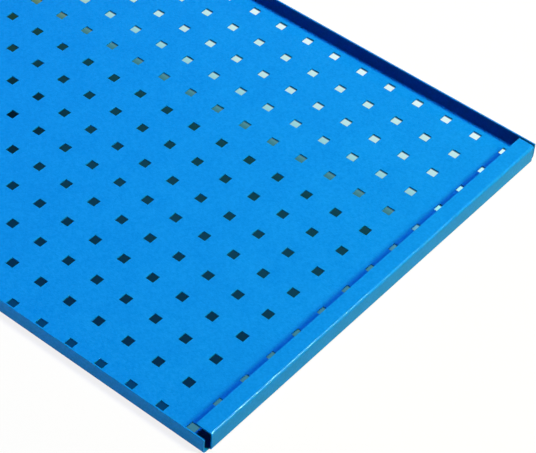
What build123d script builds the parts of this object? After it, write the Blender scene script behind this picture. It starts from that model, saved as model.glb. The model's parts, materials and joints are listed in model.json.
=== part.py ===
"""Folded steel panel, perforated with square holes.

One sheet is punched on a square grid and folded on all four edges. The long
edges stand up as plain flanges. The short ends stand up a little higher and
turn back over the sheet as a lip, so each end is a C-shaped channel. The
channels stop short of the long flanges and leave the four corners open.

Frame: millimetres, X along the panel, Y across it, Z up. The sheet lies on its
flat face with the edges upward. The origin is the middle of that face.
"""
from build123d import *
import math
import os

# Sheet
sheet = 1.5
inside_bend_radius = 1.5

# Outline, over the folded edges
panel_length = 1046.5
panel_width = 525.0

# Folded edges
side_flange_height = 19.0
end_return_height = 23.0
end_lip_width = 19.0
corner_gap = 6.5  # between a channel's end and the side flange's inner face

# Square perforation
hole_size = 10.0
hole_pitch = 38.0
hole_land = 4.0  # least plain sheet between a hole and a bend, or the lip's edge

outside_bend_radius = inside_bend_radius + sheet
return_length = panel_width - 2 * (sheet + corner_gap)


def folded_section(*outside_corners):
    """Section of a folded strip, from the sharp corners of its outer face."""
    outer_face = FilletPolyline(*outside_corners, radius=outside_bend_radius)
    return make_face(offset(outer_face, amount=sheet, side=Side.LEFT).edges())


def flanged_sheet():
    """The sheet with its two side flanges, ending where the end bends begin."""
    half = panel_width / 2
    section = folded_section(
        (-half, side_flange_height), (-half, 0), (half, 0), (half, side_flange_height)
    )
    return extrude(Plane.YZ * section, amount=panel_length / 2 - outside_bend_radius, both=True)


def end_return():
    """The channel at the +X end: base strip, wall and lip in one."""
    end = panel_length / 2
    lip_edge = end - end_lip_width
    section = folded_section(
        (lip_edge, 0), (end, 0), (end, end_return_height), (lip_edge, end_return_height)
    )
    return extrude(Plane.XZ * section, amount=return_length / 2, both=True)


def hole_count(span, plain_border):
    """Number of holes that fit a span with a plain border at each end."""
    return math.floor((span - 2 * plain_border - hole_size) / hole_pitch) + 1


def punches():
    """Square punches on a centred grid, clear of the bends and the lips."""
    columns = hole_count(panel_length, max(end_lip_width, outside_bend_radius) + hole_land)
    rows = hole_count(panel_width, outside_bend_radius + hole_land)
    punch = Box(hole_size, hole_size, sheet, align=(Align.CENTER, Align.CENTER, Align.MIN))
    return [place * punch for place in GridLocations(hole_pitch, hole_pitch, columns, rows)]


def perforated_sheet():
    """The whole panel as one folded piece."""
    channel = end_return()
    folded = flanged_sheet() + [channel, mirror(channel, about=Plane.YZ)]
    return folded - punches()


os.makedirs("parts", exist_ok=True)
export_step(perforated_sheet(), "parts/perforated_sheet.step")
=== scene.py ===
"""Blue powder-coated steel panel, punched with square holes and folded on all four edges.

The panel is modelled as it is made: a flat blank is cut on a grid, its holes are punched and
its corners notched, then the blank is folded up and given the thickness of the sheet.
Metres, in the part's own frame: X along the panel, Y across it, Z up from its flat underside.
"""
import json
import math

import bmesh
import bpy
from mathutils import Matrix, Vector


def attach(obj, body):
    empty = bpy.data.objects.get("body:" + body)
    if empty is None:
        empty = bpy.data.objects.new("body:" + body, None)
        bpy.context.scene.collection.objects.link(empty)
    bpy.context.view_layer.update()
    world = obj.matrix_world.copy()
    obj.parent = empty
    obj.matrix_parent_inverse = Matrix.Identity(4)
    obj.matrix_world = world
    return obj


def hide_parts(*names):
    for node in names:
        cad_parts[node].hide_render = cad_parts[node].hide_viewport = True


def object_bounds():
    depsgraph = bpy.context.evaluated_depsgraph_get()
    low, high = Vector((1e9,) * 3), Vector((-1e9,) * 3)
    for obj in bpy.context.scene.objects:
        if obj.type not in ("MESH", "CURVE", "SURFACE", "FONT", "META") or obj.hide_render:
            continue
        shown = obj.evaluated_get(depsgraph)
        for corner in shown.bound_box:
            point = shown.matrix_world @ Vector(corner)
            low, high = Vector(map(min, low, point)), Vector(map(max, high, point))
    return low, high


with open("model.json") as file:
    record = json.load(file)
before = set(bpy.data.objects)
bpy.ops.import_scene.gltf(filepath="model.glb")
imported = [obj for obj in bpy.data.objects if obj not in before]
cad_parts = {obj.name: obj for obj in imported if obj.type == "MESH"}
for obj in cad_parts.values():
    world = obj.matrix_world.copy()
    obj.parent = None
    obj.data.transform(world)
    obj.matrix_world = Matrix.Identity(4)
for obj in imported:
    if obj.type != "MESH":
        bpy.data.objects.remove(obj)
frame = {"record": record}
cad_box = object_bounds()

NODE = "perforated_sheet"

# Sizes that the CAD node's box doesn't give
SHEET = 0.0015
BEND_RADIUS = 0.003          # outside of the bend
SIDE_FLANGE = 0.019
LIP = 0.019
CORNER_GAP = 0.0065
HOLE = 0.010
COLUMNS, ROWS = 27, 14
BEND_STEPS = 10
EDGE_ROUND = 0.0002          # powder coat on a punched edge
EDGE_SEGMENTS = 2
EDGE_ANGLE = 50              # degrees; the steps of a bend turn by less
NORMAL_WEIGHT = 100          # large faces decide the shading beside the rounded edges

# Colour of the coat: a slow mottle between two blues, times a fine grain
COAT_DEEP = (0.0033, 0.252, 0.815, 1)
COAT_LIGHT = (0.0042, 0.268, 0.840, 1)
GRAIN_DARK = (0.45, 0.91, 0.955, 1)
GRAIN_LIGHT = (1.55, 1.09, 1.045, 1)
MOTTLE_SCALE, MOTTLE_DETAIL = 22.0, 2.0
GRAIN_SCALE, GRAIN_DETAIL = 380.0, 1.5
COLOUR_NOISE = (0.3, 0.7)    # the range of noise that the two colours span
# Share of the light that the coat bounces onto itself: less than real paint, because the
# photograph's folds are darker than these lamps make them
BOUNCE_SHARE = (0.3, 0.28, 0.38, 1)
# Gloss of the coat
SPECULAR_LEVEL = 0.022
SPECULAR_TINT = (0.42, 1.0, 1.0, 1)
GLOSS_SCALE = 260.0
GLOSS_NOISE = (0.35, 0.65)
ROUGHNESS = (0.09, 0.17)
# Orange peel, coarse and fine: scale and height
PEEL_SCALE, PEEL_HEIGHT = 640.0, 0.00015
FINE_PEEL_SCALE, FINE_PEEL_HEIGHT = 1100.0, 0.00005
SURFACE_DETAIL = 1.0
# Extra clear gloss on the upper bends of the two ends only. It carries the highlight that the
# photograph shows there; on the flat faces it would glare in other views
SMOOTH_COAT = 0.17
SMOOTH_COAT_ROUGHNESS = 0.12
SMOOTH_FROM_X = (0.5204, 0.5210)
SMOOTH_FROM_Z = (0.0216, 0.0221)

FLOOR_REACH = 12
FLOOR_LEVEL = -0.0004
FLOOR_ROUGHNESS = 0.9
FLOOR_GLOW = 0.85
FLOOR_BOUNCE = (0.55, 0.55, 0.55, 1)
FLOOR_SEEN = (0.95, 0.95, 0.97, 1)
WHITE = (1, 1, 1, 1)

# The ground seen through the holes, a card between the panel and the floor. Its shade and light
# are
# painted: the card glows with them and the lamps don't light it. Its colours are fitted to the
# photograph's tone for each row
SHADE_MARGIN = 0.003
SHADE_LEVEL = -0.0002
# Its colour at each distance across the panel
SHADE_BY_Y = [
    (-0.262, (0.0010, 0.060, 0.200)),
    (-0.247, (0.0015, 0.048, 0.150)),
    (-0.209, (0.0021, 0.027, 0.074)),
    (-0.133, (0.0027, 0.034, 0.073)),
    (-0.057, (0.0048, 0.049, 0.090)),
    (0.057, (0.0052, 0.051, 0.072)),
    (0.070, (0.0090, 0.075, 0.100)),
    (0.095, (0.050, 0.223, 0.275)),
    (0.120, (0.250, 0.550, 0.610)),
    (0.133, (0.305, 0.631, 0.686)),
    (0.171, (0.491, 0.761, 0.783)),
    (0.209, (0.515, 0.791, 0.799)),
    (0.247, (0.700, 0.905, 0.930)),
]
# The same under the column nearest each end, paler in the photograph at the end that shows
SHADE_AT_ENDS = [
    (-0.247, (0.045, 0.210, 0.310)),
    (0.020, (0.052, 0.230, 0.320)),
    (0.057, (0.066, 0.270, 0.400)),
    (0.095, (0.130, 0.420, 0.620)),
    (0.133, (0.370, 0.880, 0.920)),
    (0.171, (0.480, 0.960, 1.0)),
    (0.247, (0.700, 1.0, 1.0)),
]
END_FROM_TO = (0.470, 0.486)
# Painted shade, darkest around one point, by distance from it
DEEPEST = (0.060, -0.070, 0.0)
DEEPEST_REACH = 0.105
SHADE_DEEPEST = (0.0003, 0.0015, 0.006, 1)
# Warmer under the left half, up to where the ground turns pale
WARM_FROM_TO = (0.055, -0.060)
WARM_UP_TO = (0.110, 0.150)
SHADE_WARMTH = (2.2, 0.95, 0.45, 1)
# Painted contact shade beside the far edge of each hole over the pale ground, by distance from its
# middle
CONTACT_FROM_TO = (HOLE / 2 - 0.0011, HOLE / 2 - 0.0004)
CONTACT_FROM_Y = (0.060, 0.120)
CONTACT_SHADE = (0.08, 0.22, 0.36, 1)

# Name, place, aim, width, length, watts, colour, spread in degrees,
# and whether it lights the diffuse colour as well as the gloss.
# The key is yellowish and the fill bluish, tuned to the photograph; near white together
SOFTBOXES = [
    ("key", (2.93, 0.85, 3.15), (-0.9, 5.2, 0.0), 0.9, 0.9,
     298.0, (1.0, 0.945, 0.38), 180, True),
    ("fill", (1.05, 0.45, 3.38), (-2.67, -0.15, 2.04), 0.8, 0.8,
     163.0, (0.45, 0.505, 0.95), 180, True),
    ("kicker", (0.3, -2.6, 0.02), (0.3, 0.0, 0.015), 0.8, 0.03,
     0.2, (0.1, 1.0, 0.88), 16, True),
    ("strip_1", (1.72, 0.70, 1.31), (0.25, 0.0, 0.0), 0.54, 0.20,
     86.0, (0.55, 1.0, 0.85), 180, False),
    ("strip_2", (1.72, 1.10, 1.31), (0.25, 0.0, 0.0), 0.30, 0.20,
     16.0, (0.55, 1.0, 0.85), 180, False),
    ("strip_3", (1.72, 1.38, 1.31), (0.25, 0.0, 0.0), 0.30, 0.20,
     4.5, (0.55, 1.0, 0.85), 180, False),
]

# The photograph's view; angles in degrees, sensor and lens in millimetres
SENSOR_WIDTH = 36
LENS = 132.09
SHIFT_X = -0.0989
CLIP_END = 100
AZIMUTH, ELEVATION, ROLL = 35.203, 45.032, 4.978
DISTANCE = 1.96837
AIM_FROM_END = 0.10347
AIM_FROM_NEAR_EDGE = 0.29379

low, high = cad_box
HALF_LENGTH = high.x
HALF_WIDTH = high.y
RETURN_HEIGHT = high.z
RETURN_HALF = HALF_WIDTH - SHEET - CORNER_GAP
grid = next(m for m in frame["record"]["mounts"] if m["name"] == "square_hole_grid")
PITCH = grid["dims"]["spacing_x_mm"] / 1000


def hole_edges(count):
    """Coordinates of the hole edges along one axis, lowest first."""
    centres = [(i - (count - 1) / 2) * PITCH for i in range(count)]
    return [c + side * HOLE / 2 for c in centres for side in (-1, 1)]


def arc(centre_u, centre_z, start):
    """Points of a quarter bend on the outer face, from the angle start, anticlockwise."""
    turns = [start + math.pi / 2 * i / BEND_STEPS for i in range(1, BEND_STEPS + 1)]
    return [(centre_u + BEND_RADIUS * math.cos(a), centre_z + BEND_RADIUS * math.sin(a))
            for a in turns]


def side_profile():
    """Outer face of a long edge, outward from where its bend begins."""
    start = HALF_WIDTH - BEND_RADIUS
    return arc(start, BEND_RADIUS, -math.pi / 2) + [(HALF_WIDTH, SIDE_FLANGE)]


def end_profile():
    """Outer face of an end channel: bend, wall, bend and lip."""
    start = HALF_LENGTH - BEND_RADIUS
    top = RETURN_HEIGHT - BEND_RADIUS
    lower = arc(start, BEND_RADIUS, -math.pi / 2)
    upper = [(HALF_LENGTH, top)] + arc(start, top, 0)
    return lower + upper + [(HALF_LENGTH - LIP, RETURN_HEIGHT)]


def folded_lines(flat, profile):
    """(position, height) of each grid line across the blank, and where its flat part is."""
    left = [(-u, z) for u, z in reversed(profile)]
    lines = left + [(u, 0.0) for u in flat] + profile
    return lines, len(profile), len(profile) + len(flat) - 1


def panel():
    """The folded sheet as one mesh."""
    flat_x = [-(HALF_LENGTH - BEND_RADIUS)] + hole_edges(COLUMNS) + [HALF_LENGTH - BEND_RADIUS]
    flat_y = [-(HALF_WIDTH - BEND_RADIUS), -RETURN_HALF] + hole_edges(ROWS)
    flat_y += [RETURN_HALF, HALF_WIDTH - BEND_RADIUS]
    lines_x, x_first, x_last = folded_lines(flat_x, end_profile())
    lines_y, y_first, y_last = folded_lines(flat_y, side_profile())

    def is_cell(i, j):
        """Whether the blank has metal there: not in a hole or a corner notch."""
        in_x, in_y = x_first <= i < x_last, y_first <= j < y_last
        if in_x and in_y:
            a, b = i - x_first, j - y_first
            punched = a % 2 == 1 and b % 2 == 0 and 0 < a < 2 * COLUMNS and 0 < b - 1 < 2 * ROWS
            return not punched
        if in_x:
            return True
        return in_y and y_first < j < y_last - 1

    mesh = bmesh.new()
    verts = {}

    def vert(i, j):
        if (i, j) not in verts:
            (x, rise_x), (y, rise_y) = lines_x[i], lines_y[j]
            verts[i, j] = mesh.verts.new((x, y, rise_x + rise_y))
        return verts[i, j]

    for i in range(len(lines_x) - 1):
        for j in range(len(lines_y) - 1):
            if is_cell(i, j):
                mesh.faces.new([vert(i, j), vert(i, j + 1), vert(i + 1, j + 1), vert(i + 1, j)])
    data = bpy.data.meshes.new("panel")
    mesh.to_mesh(data)
    mesh.free()
    piece = bpy.data.objects.new("panel", data)
    bpy.context.scene.collection.objects.link(piece)
    solidify = piece.modifiers.new("sheet", "SOLIDIFY")
    solidify.thickness = SHEET
    solidify.offset = -1
    solidify.use_even_offset = True
    bevel = piece.modifiers.new("edges", "BEVEL")
    bevel.width = EDGE_ROUND
    bevel.segments = EDGE_SEGMENTS
    bevel.limit_method = "ANGLE"
    bevel.angle_limit = math.radians(EDGE_ANGLE)
    normals = piece.modifiers.new("normals", "WEIGHTED_NORMAL")
    normals.weight = NORMAL_WEIGHT
    for polygon in data.polygons:
        polygon.use_smooth = True
    return piece


def plug(tree, socket, value):
    """Link the value to the socket, or set it there."""
    if isinstance(value, bpy.types.NodeSocket):
        tree.links.new(value, socket)
    else:
        socket.default_value = value


def node(tree, kind, **sockets):
    """A new shader node, with the given values or links on its inputs."""
    item = tree.nodes.new(kind)
    for name, value in sockets.items():
        plug(tree, item.inputs[name.replace("_", " ")], value)
    return item


def noise(tree, place, scale, detail):
    item = node(tree, "ShaderNodeTexNoise", Vector=place, Scale=scale, Detail=detail)
    return item.outputs["Fac"]


def spread(tree, value, low_in, high_in, low_out, high_out):
    """The value, taken from one range to another and held at its ends."""
    item = node(tree, "ShaderNodeMapRange", Value=value, From_Min=low_in, From_Max=high_in,
                To_Min=low_out, To_Max=high_out)
    return item.outputs["Result"]


def calculate(tree, operation, *values):
    """Result of a Math node on values or links."""
    item = tree.nodes.new("ShaderNodeMath")
    item.operation = operation
    for socket, value in zip(item.inputs, values):
        plug(tree, socket, value)
    return item.outputs["Value"]


def blend(tree, share, first, second, mode="MIX"):
    """Mixed colour: first where share is 0, second (or both in the given mode) where it is 1."""
    item = tree.nodes.new("ShaderNodeMix")
    item.data_type = "RGBA"
    item.blend_type = mode
    for index, value in ((0, share), (6, first), (7, second)):
        plug(tree, item.inputs[index], value)
    return item.outputs[2]


def powder_coat():
    """Powder coat: fine grain and slow mottling in the colour, orange peel in the surface."""
    material = bpy.data.materials.new("blue_powder_coat")
    material.use_nodes = True
    tree = material.node_tree
    shader = tree.nodes["Principled BSDF"]
    place = node(tree, "ShaderNodeTexCoord").outputs["Object"]

    mottle = noise(tree, place, MOTTLE_SCALE, MOTTLE_DETAIL)
    broad = blend(tree, spread(tree, mottle, *COLOUR_NOISE, 0.0, 1.0), COAT_DEEP, COAT_LIGHT)
    grain = noise(tree, place, GRAIN_SCALE, GRAIN_DETAIL)
    fine = blend(tree, spread(tree, grain, *COLOUR_NOISE, 0.0, 1.0), GRAIN_DARK, GRAIN_LIGHT)
    tint = blend(tree, 1.0, broad, fine, "MULTIPLY")
    bounced = tree.nodes.new("ShaderNodeLightPath").outputs["Is Diffuse Ray"]
    share = blend(tree, bounced, WHITE, BOUNCE_SHARE)
    plug(tree, shader.inputs["Base Color"], blend(tree, 1.0, tint, share, "MULTIPLY"))

    gloss = noise(tree, place, GLOSS_SCALE, SURFACE_DETAIL)
    plug(tree, shader.inputs["Roughness"], spread(tree, gloss, *GLOSS_NOISE, *ROUGHNESS))
    shader.inputs["Specular IOR Level"].default_value = SPECULAR_LEVEL
    shader.inputs["Specular Tint"].default_value = SPECULAR_TINT

    peel = noise(tree, place, PEEL_SCALE, SURFACE_DETAIL)
    fine_peel = noise(tree, place, FINE_PEEL_SCALE, SURFACE_DETAIL)
    bump = node(tree, "ShaderNodeBump", Strength=1.0, Distance=PEEL_HEIGHT, Height=peel)
    surface = node(tree, "ShaderNodeBump", Strength=1.0, Distance=FINE_PEEL_HEIGHT,
                   Height=fine_peel, Normal=bump.outputs["Normal"]).outputs["Normal"]
    plug(tree, shader.inputs["Normal"], surface)

    axes = node(tree, "ShaderNodeSeparateXYZ", Vector=place)
    from_middle = calculate(tree, "ABSOLUTE", axes.outputs["X"])
    beyond = spread(tree, from_middle, *SMOOTH_FROM_X, 0.0, 1.0)
    above = spread(tree, axes.outputs["Z"], *SMOOTH_FROM_Z, 0.0, SMOOTH_COAT)
    plug(tree, shader.inputs["Coat Weight"], calculate(tree, "MULTIPLY", beyond, above))
    shader.inputs["Coat Roughness"].default_value = SMOOTH_COAT_ROUGHNESS
    plug(tree, shader.inputs["Coat Normal"], surface)
    return material


def camera():
    """The photograph's view: from the right and above, a little rolled, through a long lens."""
    data = bpy.data.cameras.new("camera")
    data.sensor_width = SENSOR_WIDTH
    data.lens = LENS
    data.shift_x = SHIFT_X
    data.clip_end = CLIP_END
    azimuth, elevation, roll = (math.radians(angle) for angle in (AZIMUTH, ELEVATION, ROLL))
    target = Vector((HALF_LENGTH - AIM_FROM_END, -HALF_WIDTH + AIM_FROM_NEAR_EDGE, SHEET))
    back = Vector((math.sin(azimuth) * math.cos(elevation),
                   -math.cos(azimuth) * math.cos(elevation), math.sin(elevation)))
    item = bpy.data.objects.new("camera", data)
    item.rotation_mode = "QUATERNION"
    turn = (-back).to_track_quat("-Z", "Y") @ Matrix.Rotation(roll, 4, "Z").to_quaternion()
    item.rotation_quaternion = turn
    item.location = target + back * DISTANCE
    bpy.context.scene.collection.objects.link(item)
    bpy.context.scene.camera = item


def seen_directly(tree):
    """1 for camera, glossy and transmission rays, so that all of them see the background."""
    path = tree.nodes.new("ShaderNodeLightPath")
    total = path.outputs["Is Camera Ray"]
    for name in ("Is Glossy Ray", "Is Transmission Ray"):
        total = calculate(tree, "MAXIMUM", total, path.outputs[name])
    return total


def level_plane(name, reach_x, reach_y, level):
    """A rectangle around the middle of the panel, with a material of its own."""
    corners = [(-reach_x, -reach_y, 0), (reach_x, -reach_y, 0),
               (reach_x, reach_y, 0), (-reach_x, reach_y, 0)]
    data = bpy.data.meshes.new(name)
    data.from_pydata(corners, [], [(0, 1, 2, 3)])
    item = bpy.data.objects.new(name, data)
    item.location.z = level
    bpy.context.scene.collection.objects.link(item)
    material = bpy.data.materials.new(name)
    material.use_nodes = True
    data.materials.append(material)
    return item, material.node_tree


def stage():
    """The floor: white to the eye, pale grey to the light that bounces off it."""
    floor, tree = level_plane("floor", FLOOR_REACH, FLOOR_REACH, FLOOR_LEVEL)
    shader = tree.nodes["Principled BSDF"]
    shader.inputs["Roughness"].default_value = FLOOR_ROUGHNESS
    shader.inputs["Specular IOR Level"].default_value = 0.0
    seen = seen_directly(tree)
    plug(tree, shader.inputs["Base Color"], blend(tree, seen, FLOOR_BOUNCE, FLOOR_SEEN))
    glow = node(tree, "ShaderNodeEmission", Color=WHITE, Strength=1.0)
    mix = tree.nodes.new("ShaderNodeMixShader")
    share = calculate(tree, "MULTIPLY", seen, FLOOR_GLOW)
    for index, value in enumerate((share, shader.outputs["BSDF"], glow.outputs["Emission"])):
        plug(tree, mix.inputs[index], value)
    plug(tree, tree.nodes["Material Output"].inputs["Surface"], mix.outputs["Shader"])


def ramp(tree, value, stops_by_y):
    """A colour for each place across the panel, where value runs from 0 to 1."""
    item = node(tree, "ShaderNodeValToRGB", Fac=value)
    stops = item.color_ramp.elements
    for y, colour in stops_by_y:
        stops.new((y + HALF_WIDTH) / (2 * HALF_WIDTH)).color = (*colour, 1)
    stops.remove(stops[0])
    stops.remove(stops[-1])
    return item.outputs["Color"]


def shade():
    """Card seen through the holes, with painted shade and light: dark under the near rows, pale
    under the far ones.
    """
    card, tree = level_plane("shade", HALF_LENGTH - SHADE_MARGIN, HALF_WIDTH - SHADE_MARGIN,
                             SHADE_LEVEL)
    tree.nodes.remove(tree.nodes["Principled BSDF"])
    place = node(tree, "ShaderNodeTexCoord").outputs["Object"]
    axes = node(tree, "ShaderNodeSeparateXYZ", Vector=place)
    x, y = axes.outputs["X"], axes.outputs["Y"]
    across = spread(tree, y, -HALF_WIDTH, HALF_WIDTH, 0.0, 1.0)

    away = tree.nodes.new("ShaderNodeVectorMath")
    away.operation = "DISTANCE"
    plug(tree, away.inputs[0], place)
    plug(tree, away.inputs[1], DEEPEST)
    depth = spread(tree, away.outputs["Value"], 0.0, DEEPEST_REACH, 1.0, 0.0)
    deep = blend(tree, depth, ramp(tree, across, SHADE_BY_Y), SHADE_DEEPEST, "DARKEN")

    in_shade = spread(tree, y, *WARM_UP_TO, 1.0, 0.0)
    leftward = spread(tree, x, *WARM_FROM_TO, 0.0, 1.0)
    warmth = calculate(tree, "MULTIPLY", in_shade, leftward)
    warm = blend(tree, warmth, deep, SHADE_WARMTH, "MULTIPLY")

    at_end = spread(tree, calculate(tree, "ABSOLUTE", x), *END_FROM_TO, 0.0, 1.0)
    ground = blend(tree, at_end, warm, ramp(tree, across, SHADE_AT_ENDS))

    # The rows of holes lie half a pitch, one and a half pitches and so on from the middle
    from_row = calculate(tree, "WRAP", y, PITCH, 0.0)
    beside = [PITCH / 2 + reach for reach in CONTACT_FROM_TO]
    contact = spread(tree, from_row, *beside, 0.0, 1.0)
    in_light = spread(tree, y, *CONTACT_FROM_Y, 0.0, 1.0)
    touched = calculate(tree, "MULTIPLY", contact, in_light)
    ground = blend(tree, touched, ground, CONTACT_SHADE, "MULTIPLY")

    # The card glows with its painted shade and light, for direct rays only; the lamps don't light
    # it
    glow = node(tree, "ShaderNodeEmission", Color=ground, Strength=seen_directly(tree))
    plug(tree, tree.nodes["Material Output"].inputs["Surface"], glow.outputs["Emission"])


def softbox(name, place, aim, width, length, watts, colour, spread_angle, wide):
    """A rectangular lamp, its width level."""
    data = bpy.data.lights.new(name, "AREA")
    data.shape = "RECTANGLE"
    data.size, data.size_y = width, length
    data.energy = watts
    data.color = colour
    data.spread = math.radians(spread_angle)
    lamp = bpy.data.objects.new(name, data)
    back = (Vector(place) - Vector(aim)).normalized()
    side = Vector((0, 0, 1)).cross(back).normalized()
    turn = Matrix((side, back.cross(side), back)).transposed().to_4x4()
    lamp.matrix_world = Matrix.Translation(place) @ turn
    lamp.visible_camera = False
    lamp.visible_diffuse = wide
    bpy.context.scene.collection.objects.link(lamp)


def lights():
    """The lamps, and a world that is white to the eye and gives the object no diffuse light."""
    world = bpy.data.worlds.new("world")
    bpy.context.scene.world = world
    world.use_nodes = True
    back = world.node_tree.nodes["Background"]
    back.inputs["Color"].default_value = WHITE
    plug(world.node_tree, back.inputs["Strength"], seen_directly(world.node_tree))
    for box in SOFTBOXES:
        softbox(*box)


sheet = panel()
sheet.data.materials.append(powder_coat())
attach(sheet, "root")
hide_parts(NODE)
stage()
shade()
lights()
camera()
bpy.context.scene.view_settings.view_transform = "Standard"
